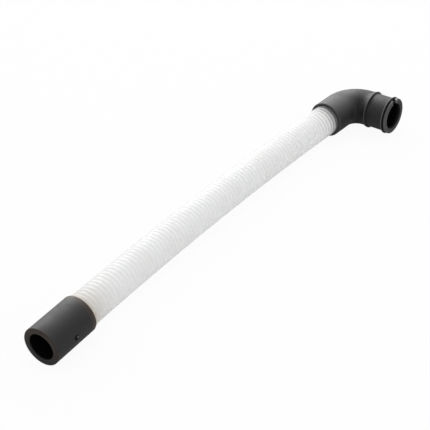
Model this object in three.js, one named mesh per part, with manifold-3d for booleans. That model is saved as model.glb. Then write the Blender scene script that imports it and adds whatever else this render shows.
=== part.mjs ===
// Washing machine pump hose: a corrugated plastic hose with a straight rubber
// cuff on one end and a right-angled rubber elbow on the other, lying on a table.
// Units are millimetres, +Z is up, and the hose's chord runs along +X from the
// cuff to the elbow. The origin is on the table, under the middle of the part.

import * as THREE from 'three';
import { mergeVertices } from 'three/addons/utils/BufferGeometryUtils.js';
import Module from 'manifold-3d';

const wasm = await Module();
wasm.setup();

// Clearance all round where the hose's ends sit in the rubber
const SEAT_GAP = 0.3;

// Hose: a thin skin with round ribs, and plain ends that sit in the rubber
const HOSE_CREST_DIAMETER = 28;
const HOSE_WALL = 0.9;
const RIB_DEPTH = 0.8;
const RIB_PITCH = 4;
const RIB_COUNT = 82;
const PLAIN_BAND = 2.5;
const PLAIN_BAND_SLOPE = 1;
const FLARE_LENGTH = 7.5;
const FLARE_DIAMETER = 30.8;
const FLARE_CREST_DIAMETER = 29.4;
const HOSE_INSERTION = 18;
const BOW_RADIUS = 3380;

// Straight cuff: its wall is measured where the hose sits inside it
const CUFF_WALL = 1.7;
const CUFF_LENGTH = 43.4;
const CUFF_BORE = 22;
const CUFF_EDGE_ROUND = 0.8;
const CUFF_BORE_CHAMFER = 0.7;

// Moulding gate on the cuff's side: a pip by the rear wall of a shallow dish. The
// pip stands a little proud of the cuff.
const GATE_FROM_MOUTH = 21;
const GATE_CLOCK_DEGREES = 86;
const GATE_DISH_DIAMETER = 4.2;
const GATE_DISH_DEPTH = 0.9;
const GATE_PIP_DIAMETER = 1.8;
const GATE_PIP_HEIGHT = 1.15;
const GATE_PIP_FROM_MIDDLE = 1.3;

// Elbow: a socket over the hose, a bend, and an outlet with a collar, a flange and a lip
const SOCKET_WALL = 2.2;
const SOCKET_LENGTH = 21.6;
const SOCKET_EDGE_ROUND = 0.6;
const BEND_RADIUS = 20.5;
const BEND_DEGREES = 87.5;
const BEND_END_DIAMETER = 32.4;
const OUTLET_DIAMETER = 31.8;
const OUTLET_LENGTH = 27.2;
const OUTLET_BORE = 24.6;
const OUTLET_BORE_CHAMFER = 0.6;
const COLLAR_DIAMETER = 34.8;
const COLLAR_WIDTH = 0.9;
const COLLAR_FROM_BEND = 5;
const COLLAR_FLARE = 4.6;
const COLLAR_FLARE_MIDDLE_RISE = 0.3;
const COLLAR_STEP = 0.4;
const FLANGE_DIAMETER = 35;
const FLANGE_WIDTH = 0.9;
const FLANGE_SLOPE = 0.8;
const LIP_GROOVE_DIAMETER = 31.2;
const LIP_GROOVE_WIDTH = 1.8;
const LIP_DIAMETER = 33.6;
const LIP_WIDTH = 1.5;
const LIP_ROUND = 0.4;

// Key slot through the lip, close to twelve o'clock
const KEY_SLOT_WIDTH = 6.4;
const KEY_SLOT_CLOCK_DEGREES = 2.9;

// Facets: even numbers, so that a corner lies at the very bottom of each piece
const HOSE_SIDES = 20;
const HOSE_BORE_SIDES = 10;
const CUFF_SIDES = 32;
const ELBOW_SIDES = 28;
const BEND_STEPS = 9;
const ROUND_STEPS = 2;
const GATE_SIDES = 14;

// Lengths and angles that follow from the sizes above
const HOSE_CREST_RADIUS = HOSE_CREST_DIAMETER / 2;
const FLARE_CREST = FLARE_LENGTH - RIB_PITCH;
const FLARE_GROOVE = FLARE_LENGTH - RIB_PITCH / 2;
const RIBS_START = FLARE_LENGTH + RIB_PITCH / 2;
const RIBS_END = RIBS_START + RIB_COUNT * RIB_PITCH;
const HOSE_LENGTH = RIBS_END + PLAIN_BAND;
const BOW_ANGLE = HOSE_LENGTH / BOW_RADIUS;
const SEAT_RADIUS = HOSE_CREST_RADIUS + SEAT_GAP;
const SEAT_DEPTH = HOSE_INSERTION + SEAT_GAP;
const CUFF_RADIUS = SEAT_RADIUS + CUFF_WALL;
const SOCKET_RADIUS = SEAT_RADIUS + SOCKET_WALL;
const CUFF_REAR = -SEAT_GAP;
const CUFF_MOUTH = CUFF_REAR - CUFF_LENGTH;
const BEND_ANGLE = THREE.MathUtils.degToRad(BEND_DEGREES);
const BEND_LENGTH = BEND_RADIUS * BEND_ANGLE;
const BEND_END = SOCKET_LENGTH + BEND_LENGTH;
const ELBOW_MOUTH = BEND_END + OUTLET_LENGTH;
const COLLAR_START = BEND_END + COLLAR_FROM_BEND;
const LIP_START = ELBOW_MOUTH - LIP_WIDTH;
const LIP_GROOVE_START = LIP_START - LIP_GROOVE_WIDTH;
const FLANGE_START = LIP_GROOVE_START - FLANGE_WIDTH;

// Cutting tools reach this far past the surface that they cut
const OVERCUT = 1;
const WELD_DISTANCE = 1e-4;

const blackRubber = new THREE.MeshStandardMaterial({
  name: 'black_rubber', color: 0x2e2f30, roughness: 0.6, metalness: 0,
});
const whitePlastic = new THREE.MeshStandardMaterial({
  name: 'white_plastic', color: 0xe6e7e9, roughness: 0.4, metalness: 0,
});

// The same surface with shared corners, and without faces that have no area.
function weld(geometry) {
  const bare = geometry.clone();
  bare.deleteAttribute('normal');
  bare.deleteAttribute('uv');
  const welded = mergeVertices(bare, WELD_DISTANCE);
  const corners = welded.index.array;
  const kept = [];
  for (let i = 0; i < corners.length; i += 3) {
    const [a, b, c] = corners.slice(i, i + 3);
    if (a !== b && b !== c && c !== a) kept.push(a, b, c);
  }
  welded.setIndex(kept);
  return welded;
}

function solidFrom(geometry) {
  const welded = weld(geometry);
  return new wasm.Manifold(new wasm.Mesh({
    numProp: 3,
    vertProperties: new Float32Array(welded.attributes.position.array),
    triVerts: new Uint32Array(welded.index.array),
  }));
}

function geometryFrom(solid) {
  const mesh = solid.getMesh();
  const geometry = new THREE.BufferGeometry();
  geometry.setAttribute('position', new THREE.BufferAttribute(mesh.vertProperties, 3));
  geometry.setIndex(new THREE.BufferAttribute(mesh.triVerts, 1));
  return geometry;
}

// A piece turned about the X axis. The outline lists [distance along X, radius],
// outer surface first and running towards +X.
function turned(outline, sides) {
  const points = outline.map(([along, radius]) => new THREE.Vector2(radius, along));
  return new THREE.LatheGeometry(points, sides).rotateZ(-Math.PI / 2);
}

// Outline points around a rounded edge, from one angle to another.
function roundedEdge(along, radius, round, from, to) {
  const points = [];
  for (let i = 0; i <= ROUND_STEPS; i += 1) {
    const angle = THREE.MathUtils.lerp(from, to, i / ROUND_STEPS);
    points.push([along + round * Math.cos(angle), radius + round * Math.sin(angle)]);
  }
  return points;
}

// Carries a piece that was made along the X axis onto a path that runs straight
// to `start`, turns to the right through `angle` at `radius`, and runs straight on.
function bendToTheRight(geometry, { start, radius, angle }) {
  const position = geometry.attributes.position;
  for (let i = 0; i < position.count; i += 1) {
    const along = position.getX(i);
    const offset = position.getY(i);
    const turn = THREE.MathUtils.clamp((along - start) / radius, 0, angle);
    const before = Math.min(along, start);
    const beyond = Math.max(along - start - radius * angle, 0);
    const reach = before + (radius + offset) * Math.sin(turn) + beyond * Math.cos(turn);
    const swing = radius * (1 - Math.cos(turn)) + beyond * Math.sin(turn);
    position.setX(i, reach);
    position.setY(i, offset * Math.cos(turn) - swing);
  }
  return geometry;
}

function namedMesh(name, geometry, material) {
  const mesh = new THREE.Mesh(geometry, material);
  mesh.name = name;
  return mesh;
}

// Corrugated hose

// Outline of the hose's skin, set in from its outer surface by `inset`. The flare has
// one crest and one groove, and ends on the crest of half a rib. The whole ribs start
// in the groove after that.
function hoseOutline(inset, overrun) {
  const crest = HOSE_CREST_RADIUS - inset;
  const root = crest - RIB_DEPTH;
  const nearEnd = -HOSE_INSERTION - overrun;
  const farEnd = HOSE_LENGTH + HOSE_INSERTION + overrun;
  const outline = [[nearEnd, 0], [nearEnd, crest], [inset, crest]];
  outline.push([inset, FLARE_DIAMETER / 2 - inset]);
  outline.push([FLARE_CREST, FLARE_CREST_DIAMETER / 2 - inset]);
  outline.push([FLARE_GROOVE, root], [FLARE_LENGTH, crest]);
  for (let rib = 0; rib < RIB_COUNT; rib += 1) {
    const ribStart = RIBS_START + rib * RIB_PITCH;
    outline.push([ribStart, root], [ribStart + RIB_PITCH / 2, crest]);
  }
  outline.push([RIBS_END, root], [RIBS_END + PLAIN_BAND_SLOPE, crest]);
  outline.push([farEnd, crest], [farEnd, 0]);
  return outline;
}

function corrugatedHose() {
  const skin = solidFrom(turned(hoseOutline(0, 0), HOSE_SIDES));
  const bore = solidFrom(turned(hoseOutline(HOSE_WALL, OVERCUT), HOSE_BORE_SIDES));
  const straight = geometryFrom(skin.subtract(bore));
  const bow = { start: 0, radius: BOW_RADIUS, angle: BOW_ANGLE };
  return namedMesh('corrugated_hose', bendToTheRight(straight, bow), whitePlastic);
}

// Straight cuff

function cuffBody() {
  const outer = CUFF_RADIUS - CUFF_EDGE_ROUND;
  const bore = CUFF_BORE / 2;
  const outline = [
    [CUFF_MOUTH, bore + CUFF_BORE_CHAMFER],
    ...roundedEdge(CUFF_MOUTH + CUFF_EDGE_ROUND, outer, CUFF_EDGE_ROUND, Math.PI, Math.PI / 2),
    ...roundedEdge(CUFF_REAR - CUFF_EDGE_ROUND, outer, CUFF_EDGE_ROUND, Math.PI / 2, 0),
    [CUFF_REAR, SEAT_RADIUS],
    [-SEAT_DEPTH, SEAT_RADIUS],
    [-SEAT_DEPTH, bore],
    [CUFF_MOUTH + CUFF_BORE_CHAMFER, bore],
    [CUFF_MOUTH, bore + CUFF_BORE_CHAMFER],
  ];
  return solidFrom(turned(outline, CUFF_SIDES));
}

// A short round bar that stands out of the cuff's side, between two distances from
// the cuff's axis. It is set to the rear of the gate's middle by `rearward`.
function gateBar(diameter, rearward, from, to) {
  const clock = THREE.MathUtils.degToRad(GATE_CLOCK_DEGREES);
  const bar = new THREE.CylinderGeometry(diameter / 2, diameter / 2, to - from, GATE_SIDES);
  bar.translate(0, (from + to) / 2, 0);
  bar.rotateX(clock + Math.PI / 2);
  bar.translate(CUFF_MOUTH + GATE_FROM_MOUTH + rearward, 0, 0);
  return solidFrom(bar);
}

function straightCuff() {
  const dishFloor = CUFF_RADIUS - GATE_DISH_DEPTH;
  const pipTop = dishFloor + GATE_PIP_HEIGHT;
  const dish = gateBar(GATE_DISH_DIAMETER, 0, dishFloor, CUFF_RADIUS + OVERCUT);
  const pip = gateBar(GATE_PIP_DIAMETER, GATE_PIP_FROM_MIDDLE, dishFloor - OVERCUT, pipTop);
  const cuff = cuffBody().subtract(dish).add(pip);
  return namedMesh('straight_cuff', geometryFrom(cuff), blackRubber);
}

// Elbow

// Outline points through the bend, from one radius to another.
function bendOutline(fromRadius, toRadius) {
  const points = [];
  for (let i = 0; i <= BEND_STEPS; i += 1) {
    const share = i / BEND_STEPS;
    const along = SOCKET_LENGTH + share * BEND_LENGTH;
    points.push([along, THREE.MathUtils.lerp(fromRadius, toRadius, share)]);
  }
  return points;
}

function outletOutline() {
  const neck = OUTLET_DIAMETER / 2;
  const collar = COLLAR_DIAMETER / 2;
  const flange = FLANGE_DIAMETER / 2;
  const groove = LIP_GROOVE_DIAMETER / 2;
  const lip = LIP_DIAMETER / 2;
  const shoulder = BEND_END_DIAMETER / 2;
  const flareMiddle = COLLAR_START - COLLAR_FLARE / 2;
  return [
    [COLLAR_START - COLLAR_FLARE, shoulder],
    [flareMiddle, THREE.MathUtils.lerp(shoulder, collar, COLLAR_FLARE_MIDDLE_RISE)],
    [COLLAR_START, collar],
    [COLLAR_START + COLLAR_WIDTH, collar],
    [COLLAR_START + COLLAR_WIDTH + COLLAR_STEP, neck],
    [FLANGE_START - FLANGE_SLOPE, neck],
    [FLANGE_START, flange],
    [LIP_GROOVE_START, flange],
    [LIP_GROOVE_START, groove],
    [LIP_START, groove],
    [LIP_START, lip],
    ...roundedEdge(ELBOW_MOUTH - LIP_ROUND, lip - LIP_ROUND, LIP_ROUND, Math.PI / 2, 0),
  ];
}

function elbowBody() {
  const bore = OUTLET_BORE / 2;
  const round = SOCKET_EDGE_ROUND;
  const outline = [
    [0, SEAT_RADIUS],
    ...roundedEdge(round, SOCKET_RADIUS - round, round, Math.PI, Math.PI / 2),
    ...bendOutline(SOCKET_RADIUS, BEND_END_DIAMETER / 2),
    ...outletOutline(),
    [ELBOW_MOUTH, bore + OUTLET_BORE_CHAMFER],
    [ELBOW_MOUTH - OUTLET_BORE_CHAMFER, bore],
    ...bendOutline(bore, bore).reverse(),
    [SEAT_DEPTH, bore],
    [SEAT_DEPTH, SEAT_RADIUS],
    [0, SEAT_RADIUS],
  ];
  return turned(outline, ELBOW_SIDES);
}

// Block that cuts the key slot, from the bore out past the lip.
function keySlotBlock() {
  const depth = LIP_WIDTH + LIP_GROOVE_WIDTH;
  const from = OUTLET_BORE / 2 - OVERCUT;
  const to = LIP_DIAMETER / 2 + OVERCUT;
  const block = new THREE.BoxGeometry(depth + OVERCUT, KEY_SLOT_WIDTH, to - from);
  block.translate(ELBOW_MOUTH + (OVERCUT - depth) / 2, 0, (from + to) / 2);
  block.rotateX(-THREE.MathUtils.degToRad(KEY_SLOT_CLOCK_DEGREES));
  return block;
}

function elbow() {
  const path = { start: SOCKET_LENGTH, radius: BEND_RADIUS, angle: BEND_ANGLE };
  const body = solidFrom(bendToTheRight(elbowBody(), path));
  const slot = solidFrom(bendToTheRight(keySlotBlock(), path));
  return namedMesh('elbow', geometryFrom(body.subtract(slot)), blackRubber);
}

// How far the elbow's mouth tips up when the socket and the wider collar both
// rest on the table.
function restingTip() {
  const beyondBend = COLLAR_FROM_BEND + COLLAR_WIDTH / 2;
  const swing = BEND_RADIUS * (1 - Math.cos(BEND_ANGLE));
  const reach = swing + beyondBend * Math.sin(BEND_ANGLE);
  const collar = COLLAR_DIAMETER / 2;
  const slant = Math.hypot(reach, collar);
  return Math.atan2(collar, reach) - Math.asin(SOCKET_RADIUS / slant);
}

// Assembly

function pumpHose() {
  const elbowMesh = elbow();
  elbowMesh.rotation.x = -restingTip();
  const elbowEnd = new THREE.Group();
  elbowEnd.add(elbowMesh);
  const bowSwing = BOW_RADIUS * (1 - Math.cos(BOW_ANGLE));
  elbowEnd.position.set(BOW_RADIUS * Math.sin(BOW_ANGLE), -bowSwing, 0);
  elbowEnd.rotation.z = -BOW_ANGLE;

  // The socket is a little wider than the cuff, so the hose climbs towards it.
  const climb = SOCKET_RADIUS - CUFF_RADIUS;
  const laid = new THREE.Group();
  laid.add(straightCuff(), corrugatedHose(), elbowEnd);
  laid.rotation.z = BOW_ANGLE / 2;
  laid.rotation.y = -Math.asin(climb / (HOSE_LENGTH - CUFF_MOUTH));

  const part = new THREE.Group();
  part.add(laid);
  part.updateMatrixWorld(true);
  const box = new THREE.Box3().setFromObject(part, true);
  const middle = box.getCenter(new THREE.Vector3());
  laid.position.set(-middle.x, -middle.y, -box.min.z);
  return part;
}

export default pumpHose();
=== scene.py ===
"""Looks of a washing machine pump hose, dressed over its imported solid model.

A corrugated white plastic hose lies on a pale studio floor. A straight black
rubber cuff sits on its near end, and a right-angled black rubber elbow on its
far end. The pieces are shaped in millimetres along a straight X axis, bent onto
their path, and then laid in the row frame in metres.
"""

from __future__ import annotations

import logging
import math
from dataclasses import dataclass, field
from enum import Enum
from typing import Callable

import bmesh
import bpy
from mathutils import Matrix, Vector

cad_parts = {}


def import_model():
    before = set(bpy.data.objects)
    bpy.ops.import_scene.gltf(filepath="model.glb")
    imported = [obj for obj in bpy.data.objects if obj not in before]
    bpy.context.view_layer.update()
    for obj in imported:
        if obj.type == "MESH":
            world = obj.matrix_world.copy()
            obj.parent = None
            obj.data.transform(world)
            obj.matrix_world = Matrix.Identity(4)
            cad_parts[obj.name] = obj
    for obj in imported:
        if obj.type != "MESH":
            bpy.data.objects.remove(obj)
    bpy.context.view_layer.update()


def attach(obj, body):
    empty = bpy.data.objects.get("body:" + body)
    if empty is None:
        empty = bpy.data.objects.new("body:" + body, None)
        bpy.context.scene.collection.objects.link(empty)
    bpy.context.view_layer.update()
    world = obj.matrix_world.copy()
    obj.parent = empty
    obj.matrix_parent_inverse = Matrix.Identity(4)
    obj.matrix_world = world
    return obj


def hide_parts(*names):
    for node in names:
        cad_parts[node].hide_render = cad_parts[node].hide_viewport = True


LOG = logging.getLogger("pump_hose")

Point = tuple[float, float]
Colour = tuple[float, float, float]

METRES = 0.001
BODY = "root"
WHITE: Colour = (1.0, 1.0, 1.0)

# Edges that turn by more than this stay sharp
CREASE_DEGREES = 50

# A point this near to a surface, in millimetres, counts as lying on it
SKIN = 0.1

# Two places this near to each other, in millimetres, are the same
CLOSE = 1e-3

# Numbers of the share and the two colours among the inputs of a node that mixes colours
MIX_INPUTS = (0, 6, 7)


class Slot(Enum):
    """Material slots of the record, which nothing in this script reads."""

    RUBBER = "black_rubber"
    PLASTIC = "white_plastic"


class Paint(Enum):
    """Marks that the pieces carry on their points, from 0 to 1, for their finishes."""

    # Painted shade where little light gets in
    HOLLOW = "hollow"
    # Painted highlights, glints and sheen, partly also wear
    WORN_AND_LIT = "worn_and_lit"
    AGED = "aged"
    # Painted shade on the hose next to the elbow's socket
    SHADED = "shaded"


class Node(Enum):
    """Solid nodes that the pieces stand for."""

    CUFF = "straight_cuff"
    HOSE = "corrugated_hose"
    ELBOW = "elbow"


# Shared sizes and places


@dataclass(frozen=True)
class Route:
    """How the hose lies: a slight sideways bow between a cuff and a wider socket.

    Millimetres and degrees, as in the part's source.
    """

    hose_length: float = 340.0
    insertion: float = 18.0
    bow_radius: float = 3380.0
    cuff_radius: float = 16.0
    cuff_mouth: float = -43.7
    socket_radius: float = 16.5
    mouth_tip_degrees: float = 2.0338
    hose_start: tuple[float, float, float] = (-176.9275, 15.5919, 16.0558)

    @property
    def bow_angle(self) -> float:
        """Angle that the hose turns through, in radians."""
        return self.hose_length / self.bow_radius

    def laid(self) -> Matrix:
        """Placement of the cuff and the hose in the row frame.

        Returns:
            The matrix from millimetres at the hose's start to metres.
        """
        climb = self.socket_radius - self.cuff_radius
        slope = math.asin(climb / (self.hose_length - self.cuff_mouth))
        turn = Matrix.Rotation(-slope, 4, "Y") @ Matrix.Rotation(self.bow_angle / 2, 4, "Z")
        return Matrix.Scale(METRES, 4) @ Matrix.Translation(self.hose_start) @ turn

    def elbow_laid(self) -> Matrix:
        """Placement of the elbow in the row frame.

        Returns:
            The matrix from millimetres at the socket's face to metres.
        """
        angle = self.bow_angle
        reach = self.bow_radius * math.sin(angle)
        swing = -self.bow_radius * (1 - math.cos(angle))
        tip = math.radians(self.mouth_tip_degrees)
        turn = Matrix.Rotation(-angle, 4, "Z") @ Matrix.Rotation(-tip, 4, "X")
        return self.laid() @ Matrix.Translation((reach, swing, 0)) @ turn

    def points(self, count: int) -> list[Vector]:
        """Points along the hose's own axis, from inside the cuff to inside the elbow.

        Args:
            count: How many points to give.

        Returns:
            The points, in the row frame, in metres.
        """
        first = -self.insertion
        last = self.hose_length + self.insertion
        laid = self.laid()
        bow = Bend(0.0, self.bow_radius, self.bow_angle)
        steps = [first + (last - first) * i / (count - 1) for i in range(count)]
        return [laid @ bow.carry(Vector((step, 0, 0))) for step in steps]


@dataclass(frozen=True)
class Bend:
    """A path that runs straight along X, turns to the right, and runs straight on."""

    start: float
    radius: float
    angle: float

    def carry(self, point: Vector) -> Vector:
        """Carries a point made along the X axis onto the path.

        Args:
            point: The point before bending, in millimetres.

        Returns:
            The point after bending.
        """
        turn = min(max((point.x - self.start) / self.radius, 0.0), self.angle)
        before = min(point.x, self.start)
        beyond = max(point.x - self.start - self.radius * self.angle, 0.0)
        reach = before + (self.radius + point.y) * math.sin(turn) + beyond * math.cos(turn)
        swing = self.radius * (1 - math.cos(turn)) + beyond * math.sin(turn)
        return Vector((reach, point.y * math.cos(turn) - swing, point.z))


# Turning and finishing meshes


def in_scene(name: str, data: bpy.types.ID) -> bpy.types.Object:
    """Makes an object and links it into the scene.

    Args:
        name: The object's name.
        data: Its mesh, lamp or camera.

    Returns:
        The object, at the origin.
    """
    made = bpy.data.objects.new(name, data)
    bpy.context.scene.collection.objects.link(made)
    return made


def limited(value: float) -> float:
    """Keeps a value from 0 to 1."""
    return min(max(value, 0.0), 1.0)


def arc(corner: Point, before: Point, after: Point, radius: float, steps: int) -> list[Point]:
    """Rounds one corner of an outline.

    Args:
        corner: The sharp corner.
        before: The outline's point before it.
        after: The outline's point after it.
        radius: Distance from the corner at which the round starts.
        steps: Number of segments in the round.

    Returns:
        The points of the round, from the side of `before` to the side of `after`.
    """
    middle = Vector(corner)
    first = middle + (Vector(before) - middle).normalized() * radius
    last = middle + (Vector(after) - middle).normalized() * radius
    points = []
    for i in range(steps + 1):
        share = i / steps
        point = first * (1 - share) ** 2 + middle * 2 * share * (1 - share) + last * share**2
        points.append((point.x, point.y))
    return points


def rounded(corners: list[tuple[float, float, float]], steps: int = 5) -> list[Point]:
    """Outline with its corners rounded.

    Args:
        corners: Distance along the axis, radius, and size of the round, for each corner.
        steps: Number of segments in each round.

    Returns:
        The outline's points, closed onto the first.
    """
    points: list[Point] = []
    count = len(corners)
    for i, (along, radius, size) in enumerate(corners):
        if size <= 0:
            points.append((along, radius))
            continue
        before = corners[i - 1][:2]
        after = corners[(i + 1) % count][:2]
        points.extend(arc((along, radius), before, after, size, steps))
    return points


def turned(outline: list[Point], sides: int) -> bmesh.types.BMesh:
    """Turns a closed outline about the X axis.

    Args:
        outline: Points as distance along the axis and radius, in millimetres.
        sides: Number of columns round the axis.

    Returns:
        A closed mesh with its faces pointing out.
    """
    mesh = bmesh.new()
    corners = [mesh.verts.new((along, 0.0, radius)) for along, radius in outline]
    edges = [mesh.edges.new((a, b)) for a, b in zip(corners, corners[1:] + corners[:1])]
    bmesh.ops.spin(
        mesh,
        geom=corners + edges,
        cent=(0, 0, 0),
        axis=(1, 0, 0),
        dvec=(0, 0, 0),
        angle=2 * math.pi,
        steps=sides,
        use_merge=True,
        use_duplicate=False,
    )
    bmesh.ops.recalc_face_normals(mesh, faces=mesh.faces)
    return mesh


def bend_onto(mesh: bmesh.types.BMesh, path: Bend) -> None:
    """Bends a mesh made along the X axis onto a path.

    Args:
        mesh: The mesh to bend in place.
        path: The path that the X axis follows.
    """
    for vert in mesh.verts:
        vert.co = path.carry(vert.co)


def painted(mesh: bmesh.types.BMesh, paint: Paint, share: Callable[[Vector], float]) -> None:
    """Puts a mark on every point of a piece, for its finish.

    Args:
        mesh: The piece, still along the X axis.
        paint: The mark.
        share: How strong the mark is at a point.
    """
    layer = mesh.verts.layers.float.new(paint.value)
    for vert in mesh.verts:
        vert[layer] = limited(share(vert.co))


def finished(
    name: str, mesh: bmesh.types.BMesh, place: Matrix, finish: bpy.types.Material
) -> bpy.types.Object:
    """Makes an object of a mesh, with its place in the mesh.

    Args:
        name: Name of the piece.
        mesh: The shape in millimetres, which is used up.
        place: Matrix from millimetres to the row frame.
        finish: Material of the whole piece.

    Returns:
        The object, at the origin and in the scene.
    """
    crease = math.radians(CREASE_DEGREES)
    bmesh.ops.transform(mesh, matrix=place, verts=mesh.verts)
    for face in mesh.faces:
        face.smooth = True
    for edge in mesh.edges:
        edge.smooth = not (edge.is_manifold and edge.calc_face_angle() > crease)
    data = bpy.data.meshes.new(name)
    mesh.to_mesh(data)
    mesh.free()
    data.materials.append(finish)
    return in_scene(name, data)


def stands_for(piece: bpy.types.Object, node: Node) -> None:
    """Makes a piece ride on the part and take a solid's place.

    Args:
        piece: The dressed piece.
        node: The solid that it stands for.
    """
    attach(piece, BODY)
    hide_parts(node.value)
    LOG.info("%s: %d faces", piece.name, len(piece.data.polygons))


# Shader effects and finishes


class Shader:
    """Adds nodes to one shader tree and links them."""

    def __init__(self, tree: bpy.types.NodeTree) -> None:
        """Keeps the tree that the nodes go to."""
        self.tree = tree

    def node(self, kind: str, **settings: object) -> bpy.types.Node:
        """Adds a node.

        Args:
            kind: Blender's name of the node's type.
            settings: Properties to set on it.

        Returns:
            The new node.
        """
        made = self.tree.nodes.new(kind)
        for key, value in settings.items():
            setattr(made, key, value)
        return made

    def put(self, socket: bpy.types.NodeSocket, value: object) -> None:
        """Links an input to another socket, or gives it a plain value.

        Args:
            socket: The input to fill.
            value: A socket, a number, a vector, or a colour without its alpha.
        """
        if isinstance(value, bpy.types.NodeSocket):
            self.tree.links.new(value, socket)
        elif socket.type == "RGBA":
            socket.default_value = (*value, 1.0)
        else:
            socket.default_value = value

    def feed(self, target: bpy.types.Node, **inputs: object) -> bpy.types.Node:
        """Sets or links inputs of a node, with underscores for the blanks in their names.

        Args:
            target: The node whose inputs are set.
            inputs: A socket to link from, or a plain value, for each input.

        Returns:
            The same node.
        """
        for name, value in inputs.items():
            self.put(target.inputs[name.replace("_", " ")], value)
        return target

    def math(self, operation: str, *values: object) -> bpy.types.NodeSocket:
        """Adds a Math node.

        Args:
            operation: Name of the operation.
            values: Sockets or numbers that it works on.

        Returns:
            The result's socket.
        """
        made = self.node("ShaderNodeMath", operation=operation)
        for socket, value in zip(made.inputs, values):
            self.put(socket, value)
        return made.outputs[0]

    def band(self, value: object, low: float, high: float) -> bpy.types.NodeSocket:
        """Spreads the stretch from `low` to `high` smoothly over 0 to 1.

        Args:
            value: The socket to spread.
            low: Value that becomes 0.
            high: Value that becomes 1.

        Returns:
            The result's socket.
        """
        made = self.node("ShaderNodeMapRange", interpolation_type="SMOOTHSTEP")
        self.feed(made, Value=value, From_Min=low, From_Max=high)
        return made.outputs["Result"]

    def noise(self, place: object, scale: object, detail: float) -> bpy.types.NodeSocket:
        """Adds a noise texture.

        Args:
            place: Socket of the coordinates.
            scale: Socket or number of the texture's scale, per metre.
            detail: Number of octaves.

        Returns:
            The noise value's socket.
        """
        made = self.node("ShaderNodeTexNoise")
        self.feed(made, Vector=place, Scale=scale, Detail=detail)
        return made.outputs["Fac"]

    def coordinates(self) -> bpy.types.NodeSocket:
        """Gives the place on the piece, in metres."""
        return self.node("ShaderNodeTexCoord").outputs["Object"]

    def effect(self, tree: bpy.types.NodeTree, **inputs: object) -> bpy.types.Node:
        """Adds a node group with its inputs filled."""
        return self.feed(self.node("ShaderNodeGroup", node_tree=tree), **inputs)

    def bump(self, height: bpy.types.NodeSocket, depth: float, strength: float) -> bpy.types.NodeSocket:
        """Adds a Bump node.

        Args:
            height: Socket of the height, from 0 to 1.
            depth: What a height of 1 stands for, in metres.
            strength: How much of the relief shows.

        Returns:
            The normal's socket.
        """
        made = self.node("ShaderNodeBump")
        self.feed(made, Height=height, Distance=depth, Strength=strength)
        return made.outputs["Normal"]

    def paint(self, paint: Paint) -> bpy.types.NodeSocket:
        """Reads a mark that the piece carries on its points."""
        return self.node("ShaderNodeAttribute", attribute_name=paint.value).outputs["Fac"]

    def seen_directly(self, path: bpy.types.Node) -> bpy.types.NodeSocket:
        """Gives 1 on rays that come from the camera, also through something clear."""
        return self.math("MAXIMUM", path.outputs["Is Camera Ray"], path.outputs["Is Transmission Ray"])

    def mix(self, share: object, first: object, second: object) -> bpy.types.NodeSocket:
        """Mixes two colours.

        Args:
            share: How much of the second colour shows.
            first: Socket or colour.
            second: Socket or colour.

        Returns:
            The mixed colour's socket.
        """
        made = self.node("ShaderNodeMix", data_type="RGBA")
        for number, value in zip(MIX_INPUTS, (share, first, second)):
            self.put(made.inputs[number], value)
        return made.outputs[2]


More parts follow.
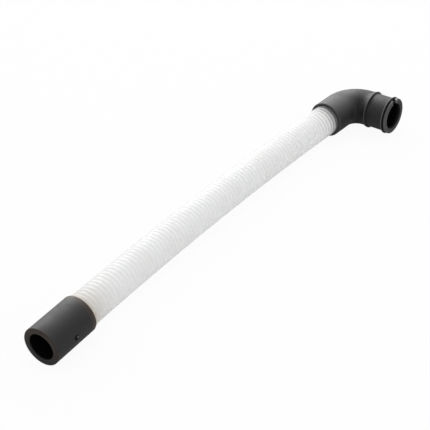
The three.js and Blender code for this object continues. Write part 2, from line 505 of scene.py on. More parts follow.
@dataclass
class Effects:
    """Shader effects that more than one finish uses, each built once as a node group."""

    fine_octaves: float = 2.0
    fine_height: float = 0.7
    coarse_octaves: float = 3.0
    coarse_scale: float = 0.23
    patch_octaves: float = 4.0
    patch_starts: float = 0.42
    patch_full: float = 0.68
    speck_edge: float = 0.16
    speck_core: float = 0.05
    dust_starts: float = -0.2
    dust_full: float = 0.9
    groups: dict[str, bpy.types.NodeTree] = field(default_factory=dict)

    def group(
        self,
        name: str,
        inputs: dict[str, float],
        outputs: list[str],
        fill: Callable[[Shader, bpy.types.Node, bpy.types.Node], None],
    ) -> bpy.types.NodeTree:
        """Gives a node group, which is built the first time that it is asked for.

        Args:
            name: The group's name.
            inputs: Name and default of each number that it takes.
            outputs: Name of each value that it gives.
            fill: Builds the nodes between the group's ends.

        Returns:
            The group.
        """
        if name in self.groups:
            return self.groups[name]
        tree = bpy.data.node_groups.new(name, "ShaderNodeTree")
        for label, value in inputs.items():
            socket = tree.interface.new_socket(label, in_out="INPUT", socket_type="NodeSocketFloat")
            socket.default_value = value
        for label in outputs:
            tree.interface.new_socket(label, in_out="OUTPUT", socket_type="NodeSocketFloat")
        shader = Shader(tree)
        fill(shader, shader.node("NodeGroupInput"), shader.node("NodeGroupOutput"))
        self.groups[name] = tree
        return tree

    def moulded_grain(self) -> bpy.types.NodeTree:
        """Fine grain that a mould leaves, as a height and a roughness change.

        Returns:
            The group, which takes the grain's size and gives Height and Variation.
        """

        def fill(shader: Shader, start: bpy.types.Node, end: bpy.types.Node) -> None:
            """Builds the grain from two noises of different size.

            Args:
                shader: Helper of the group's tree.
                start: Node with the group's inputs.
                end: Node with the group's outputs.
            """
            place = shader.coordinates()
            fine = shader.noise(place, start.outputs["Scale"], self.fine_octaves)
            broad = shader.math("MULTIPLY", start.outputs["Scale"], self.coarse_scale)
            coarse = shader.noise(place, broad, self.coarse_octaves)
            height = shader.math("MULTIPLY_ADD", fine, self.fine_height, coarse)
            shader.feed(end, Height=height, Variation=coarse)

        return self.group("moulded_grain", {"Scale": 2500.0}, ["Height", "Variation"], fill)

    def handling_marks(self) -> bpy.types.NodeTree:
        """Broad faint patches where a surface was handled, as a mask.

        Returns:
            The group, which takes the patches' scale and gives Mask.
        """

        def fill(shader: Shader, start: bpy.types.Node, end: bpy.types.Node) -> None:
            """Builds the patches from one broad noise.

            Args:
                shader: Helper of the group's tree.
                start: Node with the group's inputs.
                end: Node with the group's outputs.
            """
            place = shader.coordinates()
            patches = shader.noise(place, start.outputs["Scale"], self.patch_octaves)
            shader.feed(end, Mask=shader.band(patches, self.patch_starts, self.patch_full))

        return self.group("handling_marks", {"Scale": 60.0}, ["Mask"], fill)

    def lint(self) -> bpy.types.NodeTree:
        """Sparse pale specks of dust, as a mask that is fuller on top.

        Returns:
            The group, which takes the specks' scale and their share and gives Mask.
        """

        def fill(shader: Shader, start: bpy.types.Node, end: bpy.types.Node) -> None:
            """Builds the specks from the middles of a cell pattern.

            Args:
                shader: Helper of the group's tree.
                start: Node with the group's inputs.
                end: Node with the group's outputs.
            """
            place = shader.coordinates()
            cells = shader.node("ShaderNodeTexVoronoi")
            shader.feed(cells, Vector=place, Scale=start.outputs["Scale"])
            speck = shader.band(cells.outputs["Distance"], self.speck_edge, self.speck_core)
            chosen = shader.node("ShaderNodeSeparateColor")
            shader.feed(chosen, Color=cells.outputs["Color"])
            rare = shader.math("LESS_THAN", chosen.outputs[0], start.outputs["Share"])
            upward = shader.node("ShaderNodeSeparateXYZ")
            normal = shader.node("ShaderNodeNewGeometry").outputs["Normal"]
            shader.feed(upward, Vector=normal)
            top = shader.band(upward.outputs["Z"], self.dust_starts, self.dust_full)
            mask = shader.math("MULTIPLY", shader.math("MULTIPLY", speck, rare), top)
            shader.feed(end, Mask=mask)

        return self.group("lint", {"Scale": 700.0, "Share": 0.05}, ["Mask"], fill)


def new_material(name: str) -> tuple[bpy.types.Material, Shader, bpy.types.Node]:
    """Makes an empty node material.

    Args:
        name: Name of the material.

    Returns:
        The material, its shader helper and its output node.
    """
    material = bpy.data.materials.new(name)
    material.use_nodes = True
    material.node_tree.nodes.clear()
    shader = Shader(material.node_tree)
    return material, shader, shader.node("ShaderNodeOutputMaterial")


@dataclass(frozen=True)
class RubberFinish:
    """Matt black moulded rubber with a fine grain, a faint bloom and a little lint, darkened by painted
    shade and made paler by painted highlights and some wear where the pieces mark it.
    """

    name: str = "moulded_black_rubber"
    colour: Colour = (0.0115, 0.0118, 0.0125)
    bloom_colour: Colour = (0.022, 0.0215, 0.0205)
    lint_colour: Colour = (0.30, 0.29, 0.27)
    # Colour of painted shade in the hollows
    hollow_shade_colour: Colour = (0.002, 0.002, 0.002)
    # Pale colour of painted highlights and glints, also of worn crests
    worn_and_lit_colour: Colour = (0.85, 0.85, 0.84)
    aged_colour: Colour = (0.052, 0.032, 0.0195)
    roughness: float = 0.60
    specular: float = 0.28
    grain_scale: float = 2600.0
    grain_depth: float = 0.00003
    grain_strength: float = 0.55
    grain_roughness: float = 0.08
    patch_scale: float = 70.0
    patch_bloom: float = 0.55
    patch_roughness: float = 0.10
    lint_scale: float = 620.0
    lint_share: float = 0.035
    lint_strength: float = 0.5
    hollow_dulling: float = 0.85

    def material(self, effects: Effects) -> bpy.types.Material:
        """Builds the rubber's material.

        Args:
            effects: The shared effects.

        Returns:
            The material.
        """
        material, shader, output = new_material(self.name)
        grain = shader.effect(effects.moulded_grain(), Scale=self.grain_scale)
        marks = shader.effect(effects.handling_marks(), Scale=self.patch_scale)
        lint = shader.effect(effects.lint(), Scale=self.lint_scale, Share=self.lint_share)
        bloom = shader.math("MULTIPLY", marks.outputs["Mask"], self.patch_bloom)
        rubber = shader.mix(bloom, self.colour, self.bloom_colour)
        dusty = shader.math("MULTIPLY", lint.outputs["Mask"], self.lint_strength)
        dressed = shader.mix(dusty, rubber, self.lint_colour)
        worn = shader.mix(shader.paint(Paint.AGED), dressed, self.aged_colour)
        # Painted highlights and glints, partly also wear, make the rubber paler
        paler = shader.mix(shader.paint(Paint.WORN_AND_LIT), worn, self.worn_and_lit_colour)
        # Painted shade: the hollow mark darkens the rubber and dulls its shine
        hollow = shader.paint(Paint.HOLLOW)
        colour = shader.mix(hollow, paler, self.hollow_shade_colour)
        dulled = -self.hollow_dulling * self.specular
        shine = shader.math("MULTIPLY_ADD", hollow, dulled, self.specular)
        handled = shader.math("MULTIPLY", marks.outputs["Mask"], self.patch_roughness)
        least = self.roughness - self.grain_roughness / 2
        grainy = shader.math("MULTIPLY_ADD", grain.outputs["Variation"], self.grain_roughness, least)
        bump = shader.bump(grain.outputs["Height"], self.grain_depth, self.grain_strength)
        surface = shader.node("ShaderNodeBsdfPrincipled")
        shader.feed(
            surface,
            Base_Color=colour,
            Roughness=shader.math("ADD", grainy, handled),
            Specular_IOR_Level=shine,
            Normal=bump,
        )
        shader.feed(output, Surface=surface.outputs[0])
        return material


@dataclass(frozen=True)
class PlasticFinish:
    """White blown plastic, slightly see-through in its thin ribs, with a satin skin."""

    name: str = "blown_white_plastic"
    colour: Colour = (0.885, 0.882, 0.877)
    handled_colour: Colour = (0.845, 0.838, 0.822)
    aged_colour: Colour = (0.50, 0.46, 0.40)
    # Colour of painted shade next to the elbow's socket
    shaded_colour: Colour = (0.045, 0.046, 0.05)
    roughness: float = 0.5
    specular: float = 0.12
    scatter: float = 0.5
    scatter_reach: float = 0.0028
    scatter_colour: Colour = (1.0, 0.95, 0.9)
    grain_scale: float = 1400.0
    grain_depth: float = 0.00002
    grain_strength: float = 0.4
    patch_scale: float = 34.0
    patch_strength: float = 0.6
    patch_roughness: float = 0.10

    def material(self, effects: Effects) -> bpy.types.Material:
        """Builds the plastic's material.

        Args:
            effects: The shared effects.

        Returns:
            The material.
        """
        material, shader, output = new_material(self.name)
        grain = shader.effect(effects.moulded_grain(), Scale=self.grain_scale)
        marks = shader.effect(effects.handling_marks(), Scale=self.patch_scale)
        handled = shader.math("MULTIPLY", marks.outputs["Mask"], self.patch_strength)
        clean = shader.mix(handled, self.colour, self.handled_colour)
        worn = shader.mix(shader.paint(Paint.AGED), clean, self.aged_colour)
        # Painted shade next to the elbow's socket
        colour = shader.mix(shader.paint(Paint.SHADED), worn, self.shaded_colour)
        least = self.roughness - self.patch_roughness / 2
        roughness = shader.math("MULTIPLY_ADD", marks.outputs["Mask"], self.patch_roughness, least)
        bump = shader.bump(grain.outputs["Height"], self.grain_depth, self.grain_strength)
        surface = shader.node("ShaderNodeBsdfPrincipled")
        shader.feed(
            surface,
            Base_Color=colour,
            Roughness=roughness,
            Specular_IOR_Level=self.specular,
            Subsurface_Weight=self.scatter,
            Subsurface_Radius=self.scatter_colour,
            Subsurface_Scale=self.scatter_reach,
            Normal=bump,
        )
        shader.feed(output, Surface=surface.outputs[0])
        return material


@dataclass(frozen=True)
class FloorFinish:
    """Plain white paper that shows white to the camera and keeps a soft shadow."""

    name: str = "white_paper"
    colour: Colour = (0.86, 0.86, 0.86)
    shown_white: float = 0.93
    glossy_white: float = 0.3
    fibre_scale: float = 900.0
    fibre_octaves: float = 3.0
    fibre_depth: float = 0.00002
    fibre_strength: float = 0.2

    def material(self) -> bpy.types.Material:
        """Builds the paper's material.

        Returns:
            The material, plain to light and whiter where it is seen.
        """
        material, shader, output = new_material(self.name)
        place = shader.coordinates()
        fibre = shader.noise(place, self.fibre_scale, self.fibre_octaves)
        bump = shader.bump(fibre, self.fibre_depth, self.fibre_strength)
        paper = shader.node("ShaderNodeBsdfDiffuse")
        shader.feed(paper, Color=self.colour, Normal=bump)
        white = shader.node("ShaderNodeEmission")
        shader.feed(white, Color=WHITE, Strength=1.0)
        path = shader.node("ShaderNodeLightPath")
        glossy = shader.math("MULTIPLY", path.outputs["Is Glossy Ray"], self.glossy_white)
        seen = shader.math("MAXIMUM", shader.seen_directly(path), glossy)
        shown = shader.node("ShaderNodeMixShader")
        share = shader.math("MULTIPLY", seen, self.shown_white)
        for socket, value in zip(shown.inputs, (share, paper.outputs[0], white.outputs[0])):
            shader.put(socket, value)
        shader.feed(output, Surface=shown.outputs[0])
        return material


# Pieces


@dataclass
class CorrugatedHose:
    """White hose with ring ribs, a ribbed flare at the cuff and a plain band at the elbow."""

    route: Route
    crest_radius: float = 14.0
    wall: float = 0.9
    rib_depth: float = 0.46
    rib_pitch: float = 4.0
    rib_count: int = 82
    flare_length: float = 7.5
    flare_radius: float = 15.4
    flare_hollow: float = 1.3
    flare_smooth: float = 4.0
    flare_steps: int = 24
    flare_opens: float = 0.4
    band_slope: float = 1.0
    band_dip: float = 1 / 3
    crest_fullness: float = 0.55
    cream_share: float = 0.88
    cream_reach: float = 13.0
    line_share: float = 0.3
    line_reach: float = 2.5
    near_shade: float = 0.88
    near_power: float = 1.5
    groove_shade: float = 0.32
    shade_reach: float = 15.0
    rim_reach: float = 1.8
    rib_steps: int = 10
    bore_steps: int = 4
    sides: int = 72

    def rib(self, share: float) -> float:
        """Radius of the outer skin at a share of one rib, from groove to groove."""
        wave = 0.5 - 0.5 * math.cos(2 * math.pi * share)
        return self.crest_radius - self.rib_depth * (1 - wave**self.crest_fullness)

    def flare(self, share: float) -> float:
        """Radius of the flare, which carries ribs of the same pitch as the hose.

        Args:
            share: Place along the flare, from the cuff's face at 0 to its end at 1.

        Returns:
            The radius of the outer skin.
        """
        rise = self.flare_radius - self.crest_radius
        along = share * self.flare_length
        ribs = (along - self.flare_length) / self.rib_pitch + 0.5
        groove = (self.crest_radius - self.rib(ribs)) * limited(along / self.flare_smooth)
        return self.crest_radius + rise * (1 - share) ** self.flare_hollow - groove

    def skin(self, steps: int, inset: float) -> list[Point]:
        """Outline of one skin along the hose, between its plain ends.

        Args:
            steps: Number of segments in each rib.
            inset: Distance in from the outer skin.

        Returns:
            The outline from the cuff's end to the elbow's end.
        """
        points = [(-self.route.insertion, self.crest_radius - inset)]
        points.append((-self.flare_opens, self.crest_radius - inset))
        for i in range(self.flare_steps + 1):
            share = i / self.flare_steps
            points.append((share * self.flare_length, self.flare(share) - inset))
        half = self.flare_length - self.rib_pitch / 2
        for i in range(steps // 2 + 1, steps + (self.rib_count * steps) + 1):
            share = i / steps
            points.append((half + share * self.rib_pitch, self.rib(share) - inset))
        band = half + (self.rib_count + 1) * self.rib_pitch
        dip = self.rib_depth * self.band_dip
        points.append((band + self.band_slope / 2, self.crest_radius - dip - inset))
        points.append((band + self.band_slope, self.crest_radius - inset))
        points.append((self.route.hose_length + self.route.insertion, self.crest_radius - inset))
        return points

    def cream(self, place: Vector) -> float:
        """How much a place has yellowed, from the cuff's face outwards.

        Args:
            place: A point of the hose, before it is bent.

        Returns:
            The share of the aged colour, with a darker line right at the cuff.
        """
        if place.x < 0:
            return 0.0
        line = max(1 - place.x / self.line_reach, 0.0)
        return self.cream_share * math.exp(-place.x / self.cream_reach) + self.line_share * line

    def shade(self, place: Vector) -> float:
        """How much painted shade darkens a place next to the elbow's socket.

        Args:
            place: A point of the hose, before it is bent.

        Returns:
            The share of the shaded colour: all of it at the rim, then more in the grooves.
        """
        share = 1 - (self.route.hose_length - place.x) / self.shade_reach
        near = self.near_shade * max(share, 0.0) ** self.near_power
        deep = limited((self.crest_radius - place.yz.length) / self.rib_depth)
        grooves = self.groove_shade * limited(share + 1) * deep
        rim = 1 - (self.route.hose_length - place.x) / self.rim_reach
        return near + grooves + max(rim, 0.0)

    def build(self, finish: bpy.types.Material) -> bpy.types.Object:
        """Builds the hose.

        Args:
            finish: The plastic's material.

        Returns:
            The dressed hose.
        """
        outer = self.skin(self.rib_steps, 0.0)
        inner = self.skin(self.bore_steps, self.wall)
        mesh = turned(outer + inner[::-1], self.sides)
        painted(mesh, Paint.AGED, self.cream)
        painted(mesh, Paint.SHADED, self.shade)
        bend_onto(mesh, Bend(0.0, self.route.bow_radius, self.route.bow_angle))
        return finished("hose_corrugated_skin", mesh, self.route.laid(), finish)


@dataclass
class StraightCuff:
    """Thick straight rubber sleeve with an open bore and a gate mark on its side."""

    route: Route
    rear: float = -0.3
    bore_radius: float = 11.0
    seat_radius: float = 14.3
    seat_depth: float = 18.3
    edge_round: float = 0.8
    bore_round: float = 0.9
    gate_from_mouth: float = 21.0
    gate_clock_degrees: float = 86.0
    dish_radius: float = 2.1
    dish_depth: float = 0.9
    pip_radius: float = 0.9
    pip_stand: float = 0.25
    pip_offset: float = 1.3
    dish_slope: float = 0.6
    pip_slope: float = 0.3
    gate_margin: float = 1.2
    gate_ring_step: float = 0.2
    gate_rings: int = 17
    gate_cuts: int = 5
    edge_fade: float = 2.2
    rear_fade: float = 6.0
    rear_round: float = 0.45
    hollow_fade: float = 1.8
    face_shade: float = 0.25
    dish_shade: float = 0.8
    # Painted highlight on the top of the gate's pip
    pip_highlight: float = 0.106
    mouth_age: float = 0.5
    rear_age: float = 0.8
    sides: int = 96

    @property
    def gate_place(self) -> float:
        """Distance of the gate mark's middle along the hose's axis."""
        return self.route.cuff_mouth + self.gate_from_mouth

    def outline(self) -> list[Point]:
        """Outline of the sleeve, with close rings where the gate mark is.

        Returns:
            The outline's points, closed onto the first.
        """
        radius = self.route.cuff_radius
        mouth = self.route.cuff_mouth
        steps = range(-self.gate_rings, self.gate_rings + 1)
        patch = [(self.gate_place + step * self.gate_ring_step, radius, 0.0) for step in steps]
        corners = [
            (mouth, self.bore_radius, self.bore_round),
            (mouth, radius, self.edge_round),
            (mouth + self.edge_fade, radius, 0.0),
            *patch,
            (self.rear - self.rear_fade, radius, 0.0),
            (self.rear, radius, self.rear_round),
            (self.rear, self.seat_radius, 0.0),
            (-self.seat_depth, self.seat_radius, 0.0),
            (-self.seat_depth, self.bore_radius, 0.0),
            (mouth + self.hollow_fade, self.bore_radius, 0.0),
        ]
        return rounded(corners)

    def hollow(self, place: Vector) -> float:
        """How dark a place is kept, where little light gets in.

        Args:
            place: A point of the cuff, before it is bent.

        Returns:
            The share of the hollow colour: the bore, the mouth's face and the gate's dish.
        """
        if place.yz.length < self.bore_radius + SKIN:
            return self.face_shade + (place.x - self.route.cuff_mouth) / self.hollow_fade
        if place.x < self.route.cuff_mouth + 2 * SKIN:
            return self.face_shade
        if abs(place.x - self.gate_place) > self.dish_radius + self.gate_margin:
            return 0.0
        depth = self.route.cuff_radius - place.yz.length
        return self.dish_shade * depth / self.dish_depth if depth < 2 * self.dish_depth else 0.0

    def worn_and_lit(self, place: Vector) -> float:
        """How pale a place is painted: a painted highlight on the gate's pip alone, where it stands
        proud.
        """
        return self.pip_highlight * (place.yz.length - self.route.cuff_radius) / self.pip_stand

    def aged(self, place: Vector) -> float:
        """How brown a place has turned.

        Args:
            place: A point of the cuff, before it is bent.

        Returns:
            The share of the aged colour: the rear end, and the upper side of the mouth.
        """
        upper = 0.5 + 0.5 * place.z / place.yz.length
        mouth = self.mouth_age * upper * (1 - (place.x - self.route.cuff_mouth) / self.edge_fade)
        rear = self.rear_age * (1 - (self.rear - place.x) / self.rear_fade)
        return max(mouth, rear)

    def gate_height(self, along: float, around: float) -> float:
        """Height of the gate mark over the sleeve.

        Args:
            along: Distance from the mark's middle along the cuff.
            around: Distance from the mark's middle round the cuff.

        Returns:
            The height, below 0 in the dish.
        """
        in_dish = self.dish_radius + self.dish_slope / 2 - math.hypot(along, around)
        in_pip = self.pip_radius + self.pip_slope / 2 - math.hypot(along - self.pip_offset, around)
        dish = limited(in_dish / self.dish_slope)
        pip = limited(in_pip / self.pip_slope)
        return self.pip_stand * pip - self.dish_depth * dish * (1 - pip)

    def press_gate(self, mesh: bmesh.types.BMesh) -> None:
        """Presses the gate mark into the sleeve's side.

        Args:
            mesh: The turned sleeve, still along the X axis.
        """
        radius = self.route.cuff_radius
        clock = math.radians(self.gate_clock_degrees)
        outward = Vector((0, -math.sin(clock), math.cos(clock)))
        reach = self.dish_radius + self.gate_margin
        middle = Vector((self.gate_place, 0, 0))
        near = []
        for edge in mesh.edges:
            centre = (edge.verts[0].co + edge.verts[1].co) / 2
            runs_round = abs(edge.verts[0].co.x - edge.verts[1].co.x) < CLOSE
            on_side = centre.yz.length > radius - SKIN and centre.dot(outward) > 0
            flat = centre - outward * centre.dot(outward)
            if runs_round and on_side and (flat - middle).length < reach:
                near.append(edge)
        bmesh.ops.subdivide_edges(mesh, edges=near, cuts=self.gate_cuts, use_grid_fill=False)
        for vert in mesh.verts:
            side = Vector((0, vert.co.y, vert.co.z))
            if side.length < radius - SKIN or side.dot(outward) <= 0:
                continue
            side.normalize()
            around = radius * side.angle(outward)
            along = vert.co.x - middle.x
            if math.hypot(around, along) < reach:
                height = radius + self.gate_height(along, around)
                vert.co = Vector((vert.co.x, side.y * height, side.z * height))

    def build(self, finish: bpy.types.Material) -> bpy.types.Object:
        """Builds the cuff.

        Args:
            finish: The rubber's material.

        Returns:
            The dressed cuff.
        """
        mesh = turned(self.outline(), self.sides)
        self.press_gate(mesh)
        painted(mesh, Paint.HOLLOW, self.hollow)
        painted(mesh, Paint.WORN_AND_LIT, self.worn_and_lit)
        painted(mesh, Paint.AGED, self.aged)
        return finished("cuff_straight_sleeve", mesh, self.route.laid(), finish)


@dataclass
class Elbow:
    """Right-angled rubber elbow: socket, bend, collar, flange, groove and keyed lip."""

    route: Route
    socket_length: float = 21.6
    socket_round: float = 0.6
    seat_radius: float = 14.3
    seat_depth: float = 18.3
    bend_radius: float = 20.5
    bend_degrees: float = 87.5
    bend_end_radius: float = 16.2
    neck_radius: float = 15.9
    outlet_length: float = 27.2
    bore_radius: float = 12.3
    collar_radius: float = 17.4
    collar_width: float = 0.9
    collar_from_bend: float = 5.0
    collar_flare: float = 4.6
    collar_hollow: float = 1.7
    collar_step: float = 0.4
    collar_round: float = 0.35
    collar_rings: int = 6
    foot_run: float = 1.4
    foot_round: float = 0.2
    flange_radius: float = 17.5
    flange_width: float = 0.9
    flange_slope: float = 0.8
    flange_round: float = 0.3
    groove_radius: float = 15.6
    groove_width: float = 1.8
    lip_radius: float = 16.8
    lip_width: float = 1.5
    slot_width: float = 6.4
    slot_clock_degrees: float = 2.9
    slot_margin: float = 3.0
    edge_bevel: float = 0.45
    edge_segments: int = 3
    sharp_degrees: float = 40.0
    hollow_fade: float = 1.8
    # Painted shade in the lip's groove, the key slot, the collar's foot and the bend's inner side
    groove_shade: float = 0.75
    groove_fade: float = 0.6
    slot_shade: float = 0.85
    slot_rim: float = 1.0
    foot_shade: float = 0.7
    foot_reach: float = 0.8
    # Painted highlights on the crests, partly also wear
    crest_wear_and_highlight: float = 0.084
    collar_crest_reach: float = 0.7
    collar_crest_depth: float = 0.4
    flange_crest_depth: float = 0.25
    # Painted glint on the slot's wall that faces the light
    wall_glint: float = 1.0
    wall_foot: float = 1.0
    # Painted highlight on the lip's end beside the slot
    end_highlight: float = 0.154
    # Lip painted lighter on one side, as painted light
    lip_lit_side: float = 0.032
    lip_foot: float = 0.3
    # Socket's face painted paler
    socket_face_pale: float = 0.0385
    face_rim: float = 0.5
    inner_shade: float = 0.5
    inner_share: float = 0.75
    inner_reach: float = 16.0
    # Painted sheen on the top of the socket and of the bend
    top_sheen: float = 0.058
    top_sheen_share: float = 0.72
    top_sheen_fade: float = 12.0
    bend_steps: int = 40
    sides: int = 96

    @property
    def bend_length(self) -> float:
        """Length of the bend along its middle."""
        return self.bend_radius * math.radians(self.bend_degrees)

    @property
    def mouth(self) -> float:
        """Distance of the mouth from the socket's face, along the elbow."""
        return self.socket_length + self.bend_length + self.outlet_length

    @property
    def collar_start(self) -> float:
        """Distance of the collar's crest from the socket's face, along the elbow."""
        return self.socket_length + self.bend_length + self.collar_from_bend

    @property
    def collar_foot(self) -> float:
        """Distance of the collar's foot, where the neck starts, along the elbow."""
        return self.collar_start + self.collar_width + self.collar_step

    @property
    def slot_floor(self) -> float:
        """Distance of the key slot's floor from the socket's face, along the elbow."""
        return self.mouth - self.lip_width - self.groove_width

    def through_bend(self, first: float, last: float) -> list[tuple[float, float, float]]:
        """Outline points through the bend.

        Args:
            first: Radius at the socket's end of the bend.
            last: Radius at the outlet's end.

        Returns:
            Distance along the axis, radius and size of the round, for each point.
        """
        points = []
        for i in range(self.bend_steps + 1):
            share = i / self.bend_steps
            along = self.socket_length + share * self.bend_length
            points.append((along, first + (last - first) * share, 0.0))
        return points

    def outline(self) -> list[Point]:
        """Outline of the elbow along a straight axis, sharp at the lip.

        Returns:
            The outline's points, closed onto the first.
        """
        collar = self.collar_start
        foot = self.collar_foot
        flange = self.slot_floor - self.flange_width
        neck = self.neck_radius
        shoulder = self.bend_end_radius
        flare = []
        for i in range(self.collar_rings):
            share = i / self.collar_rings
            radius = shoulder + (self.collar_radius - shoulder) * share**self.collar_hollow
            flare.append((collar - self.collar_flare * (1 - share), radius, 0.0))
        corners = [
            (0.0, self.seat_radius, 0.0),
            (0.0, self.route.socket_radius, self.socket_round),
            *self.through_bend(self.route.socket_radius, shoulder),
            *flare,
            (collar, self.collar_radius, self.collar_round),
            (collar + self.collar_width, self.collar_radius, self.collar_round),
            (foot, neck, self.foot_round),
            (foot + self.foot_run, neck, 0.0),
            (flange - self.flange_slope, neck, self.foot_round),
            (flange, self.flange_radius, self.flange_round),
            (self.slot_floor, self.flange_radius, self.flange_round),
            (self.slot_floor, self.groove_radius, 0.0),
            (self.slot_floor + self.groove_width, self.groove_radius, 0.0),
            (self.slot_floor + self.groove_width, self.lip_radius, 0.0),
            (self.mouth, self.lip_radius, 0.0),
            (self.mouth, self.bore_radius, 0.0),
            (self.slot_floor, self.bore_radius, 0.0),
            *self.through_bend(self.bore_radius, self.bore_radius)[::-1],
            (self.seat_depth, self.bore_radius, 0.0),
            (self.seat_depth, self.seat_radius, 0.0),
        ]
        return rounded(corners)

    def hollow(self, place: Vector) -> float:
        """How dark a place is kept, where little light gets in.

        Args:
            place: A point of the elbow, before it is bent.

        Returns:
            The share of the hollow colour: the bore, the lip's groove, the key slot, the
            collar's foot and the inner side of the bend.
        """
        radius = place.yz.length
        if radius < self.bore_radius + SKIN:
            return (self.mouth - place.x) / self.hollow_fade
        if self.slot_floor - SKIN < place.x < self.mouth - self.lip_width + SKIN:
            return self.groove_shade * (1 - (radius - self.groove_radius) / self.groove_fade)
        outward, across = self.slot_directions()
        in_slot = abs(place.dot(across)) < self.slot_width / 2 + SKIN and place.dot(outward) > 0
        if place.x > self.slot_floor + SKIN and in_slot:
            return self.slot_shade if radius < self.lip_radius - self.slot_rim else 0.0
        if radius < self.neck_radius + SKIN:
            return self.foot_shade * (1 - abs(place.x - self.collar_foot) / self.foot_reach)
        from_middle = abs(place.x - self.socket_length - self.inner_share * self.bend_length)
        inward = max(-place.y / radius, 0.0) ** 2
        return self.inner_shade * (1 - from_middle / self.inner_reach) * inward

    def lip_painted_light(self, place: Vector) -> float:
        """How pale a place of the lip is painted.

        Args:
            place: A point of the lip, before it is bent.

        Returns:
            The share of the pale colour, painted light: most on the slot's wall that faces the light.
        """
        radius = place.yz.length
        outward, across = self.slot_directions()
        from_wall = abs(abs(place.dot(across)) - self.slot_width / 2)
        beside = from_wall < self.edge_bevel + SKIN and place.dot(outward) > 0
        # Painted highlight on the lip's end at the slot's near wall
        if beside and place.dot(across) <= 0:
            return self.end_highlight
        # Painted glint on the slot's far wall, which faces the light
        if beside and radius > self.bore_radius + self.wall_foot:
            return self.wall_glint
        if radius <= self.bore_radius + self.lip_foot:
            return 0.0
        # The lip painted lighter on one side, as painted light
        return self.lip_lit_side * (1 - place.y / radius)

    def worn_and_lit(self, place: Vector) -> float:
        """How pale a place is painted: painted highlights and glints, partly also wear, and a painted
        sheen on top.

        Args:
            place: A point of the elbow, before it is bent.

        Returns:
            The share of the pale colour: the lip, the socket's face, the two crests and
            the top of the socket and of the bend.
        """
        radius = place.yz.length
        if place.x > self.slot_floor + 2 * SKIN:
            return self.lip_painted_light(place)
        # The socket's face painted paler
        if place.x < SKIN and radius > self.seat_radius - SKIN:
            return self.socket_face_pale
        # Painted highlight on the socket's rim, partly also wear
        if place.x < self.socket_round and radius > self.route.socket_radius - self.face_rim:
            return self.crest_wear_and_highlight / 2
        # Painted sheen on the top of the socket and of the bend, paler towards the top
        before_end = self.socket_length + self.top_sheen_share * self.bend_length - place.x
        if before_end > 0 and radius > self.neck_radius:
            lit_top = max(place.z / radius, 0.0) ** 2
            return self.top_sheen * lit_top * limited(before_end / self.top_sheen_fade)
        # Painted highlight along the flange's and the collar's crests, partly also wear
        if place.x > self.collar_foot:
            return self.crest_wear_and_highlight if radius > self.flange_radius - self.flange_crest_depth else 0.0
        if radius <= self.collar_radius - self.collar_crest_depth:
            return 0.0
        return self.crest_wear_and_highlight * (1 - abs(place.x - self.collar_start) / self.collar_crest_reach)

    def slot_directions(self) -> tuple[Vector, Vector]:
        """Where the key slot points.

        Returns:
            The direction from the axis to the slot, and the direction across it.
        """
        clock = math.radians(self.slot_clock_degrees)
        outward = Vector((0, math.sin(clock), math.cos(clock)))
        across = Vector((0, math.cos(clock), -math.sin(clock)))
        return outward, across

    def cut_slot(self, mesh: bmesh.types.BMesh) -> None:
        """Cuts the key slot through the lip and the groove's floor.

        Args:
            mesh: The turned elbow, still along the X axis.
        """
        outward, across = self.slot_directions()
        half = self.slot_width / 2

        def beside(faces: list[bmesh.types.BMFace], reach: float) -> list[bmesh.types.BMFace]:
            """Picks the faces of the lip that lie near the slot's middle plane.

            Args:
                faces: The faces to pick from.
                reach: Largest distance of a face's middle from the plane.

            Returns:
                The faces that lie near it.
            """
            kept = []
            for face in faces:
                centre = face.calc_center_median()
                in_lip = all(v.co.x > self.slot_floor - CLOSE for v in face.verts)
                off_floor = centre.x > self.slot_floor + CLOSE
                near = centre.dot(outward) > 0 and abs(centre.dot(across)) < reach
                if in_lip and off_floor and near:
                    kept.append(face)
            return kept

        for side in (-1, 1):
            faces = beside(list(mesh.faces), half + self.slot_margin)
            parts = {edge for face in faces for edge in face.edges}
            corners = {vert for face in faces for vert in face.verts}
            bmesh.ops.bisect_plane(
                mesh,
                geom=faces + list(parts) + list(corners),
                dist=CLOSE / 100,
                plane_co=across * half * side,
                plane_no=across,
            )
        bmesh.ops.delete(mesh, geom=beside(list(mesh.faces), half), context="FACES")
        rim = [edge for edge in mesh.edges if edge.is_boundary]
        walls = []
        for side in (-1, 1):
            wall = [e for e in rim if all(abs(v.co.dot(across) - side * half) < CLOSE for v in e.verts)]
            ends = [v for e in wall for v in e.verts if abs(v.co.x - self.slot_floor) < CLOSE]
            ends = sorted(set(ends), key=lambda v: v.co.dot(outward))
            foot = mesh.edges.new((ends[0], ends[-1]))
            bmesh.ops.contextual_create(mesh, geom=wall + [foot])
            walls.append(foot)
        floor = [e for e in rim if all(abs(v.co.x - self.slot_floor) < CLOSE for v in e.verts)]
        bmesh.ops.contextual_create(mesh, geom=floor + walls)
        bmesh.ops.recalc_face_normals(mesh, faces=mesh.faces)

    def soften_lip(self, mesh: bmesh.types.BMesh) -> None:
        """Rounds the sharp edges of the lip and the key slot.

        Args:
            mesh: The turned elbow with its slot cut.
        """
        sharp = []
        least = math.radians(self.sharp_degrees)
        for edge in mesh.edges:
            outer = all(v.co.x > self.slot_floor - CLOSE for v in edge.verts)
            if outer and edge.is_manifold and edge.calc_face_angle() > least:
                sharp.append(edge)
        bmesh.ops.bevel(
            mesh,
            geom=sharp,
            offset=self.edge_bevel,
            segments=self.edge_segments,
            profile=0.5,
            affect="EDGES",
            material=-1,
            clamp_overlap=True,
        )

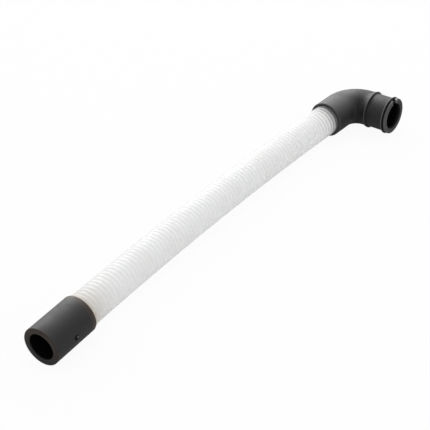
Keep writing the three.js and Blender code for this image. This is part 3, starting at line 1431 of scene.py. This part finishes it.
    def build(self, finish: bpy.types.Material) -> bpy.types.Object:
        """Builds the elbow.

        Args:
            finish: The rubber's material.

        Returns:
            The dressed elbow.
        """
        mesh = turned(self.outline(), self.sides)
        self.cut_slot(mesh)
        self.soften_lip(mesh)
        painted(mesh, Paint.HOLLOW, self.hollow)
        painted(mesh, Paint.WORN_AND_LIT, self.worn_and_lit)
        turn = math.radians(self.bend_degrees)
        bend_onto(mesh, Bend(self.socket_length, self.bend_radius, turn))
        return finished("elbow_moulding", mesh, self.route.elbow_laid(), finish)


# Studio


@dataclass(frozen=True)
class SoftBox:
    """A square soft lamp that points at the part, or a card that only reflections show."""

    name: str
    place: tuple[float, float, float]
    size: float
    power: float
    reflection_only: bool = False

    def build(self) -> None:
        """Builds the lamp."""
        lamp = bpy.data.lights.new(self.name, "AREA")
        lamp.shape = "SQUARE"
        lamp.size = self.size
        lamp.energy = self.power
        holder = in_scene(self.name, lamp)
        holder.location = self.place
        holder.rotation_euler = (-Vector(self.place)).to_track_quat("-Z", "Y").to_euler()
        holder.visible_diffuse = not self.reflection_only


@dataclass(frozen=True)
class Camera:
    """Camera at the photograph's place, from a fit to its outlines."""

    focal_pixels: float = 1147.757
    image_pixels: float = 430.0
    place: tuple[float, float, float] = (-0.63210, -0.44676, 0.57494)
    right: tuple[float, float, float] = (0.59616, -0.80287, 0.0)
    ahead: tuple[float, float, float] = (0.64814, 0.48127, -0.59017)
    sensor: float = 36.0
    nearest: float = 0.01
    farthest: float = 100.0

    def build(self) -> None:
        """Builds the camera and makes it the scene's."""
        data = bpy.data.cameras.new("photo_camera")
        data.sensor_width = self.sensor
        data.lens = self.focal_pixels * self.sensor / self.image_pixels
        data.clip_start = self.nearest
        data.clip_end = self.farthest
        holder = in_scene("photo_camera", data)
        right = Vector(self.right).normalized()
        back = -Vector(self.ahead).normalized()
        up = back.cross(right)
        turn = Matrix((right, up, back)).transposed().to_4x4()
        holder.matrix_world = Matrix.Translation(self.place) @ turn
        bpy.context.scene.camera = holder


@dataclass(frozen=True)
class Studio:
    """Plain white floor, pale surroundings and soft lamps."""

    floor_half: float = 6.0
    surround: float = 0.92
    boxes: tuple[SoftBox, ...] = (
        SoftBox("key_behind", place=(0.80, 0.60, 0.82), size=0.9, power=2.8),
        SoftBox("sheen_card", place=(0.76, 0.66, 0.80), size=0.9, power=16.0, reflection_only=True),
        SoftBox("low_card", place=(0.60, 1.05, 0.42), size=0.9, power=15.0, reflection_only=True),
        SoftBox("side_card", place=(1.15, 0.00, 0.62), size=0.7, power=6.5, reflection_only=True),
    )

    def floor(self) -> None:
        mesh = bmesh.new()
        bmesh.ops.create_grid(mesh, x_segments=2, y_segments=2, size=self.floor_half)
        data = bpy.data.meshes.new("paper_floor")
        mesh.to_mesh(data)
        mesh.free()
        data.materials.append(FloorFinish().material())
        floor = in_scene("paper_floor", data)

    def surroundings(self) -> None:
        """Lights the part evenly from all round, and shows white behind it."""
        world = bpy.data.worlds.new("pale_studio")
        world.use_nodes = True
        world.node_tree.nodes.clear()
        shader = Shader(world.node_tree)
        path = shader.node("ShaderNodeLightPath")
        seen = shader.math("MAXIMUM", shader.seen_directly(path), path.outputs["Is Glossy Ray"])
        strength = shader.node("ShaderNodeMapRange")
        shader.feed(strength, Value=seen, To_Min=self.surround, To_Max=1.0)
        light = shader.node("ShaderNodeBackground")
        shader.feed(light, Color=WHITE, Strength=strength.outputs["Result"])
        output = shader.node("ShaderNodeOutputWorld")
        shader.feed(output, Surface=light.outputs[0])
        bpy.context.scene.world = world

    def build(self) -> None:
        """Builds the floor, the surroundings and the lamps."""
        self.floor()
        self.surroundings()
        for box in self.boxes:
            box.build()
        bpy.context.scene.view_settings.view_transform = "Standard"


def main() -> None:
    """Builds the camera, the pieces and the studio."""
    logging.basicConfig(level=logging.INFO, format="%(name)s: %(message)s")
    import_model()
    Camera().build()
    route = Route()
    effects = Effects()
    plastic = PlasticFinish().material(effects)
    rubber = RubberFinish().material(effects)
    shape = CorrugatedHose(route)
    hose = shape.build(plastic)
    stands_for(hose, Node.HOSE)
    cuff = StraightCuff(route).build(rubber)
    stands_for(cuff, Node.CUFF)
    elbow = Elbow(route).build(rubber)
    stands_for(elbow, Node.ELBOW)
    Studio().build()


if __name__ == "__main__":
    main()
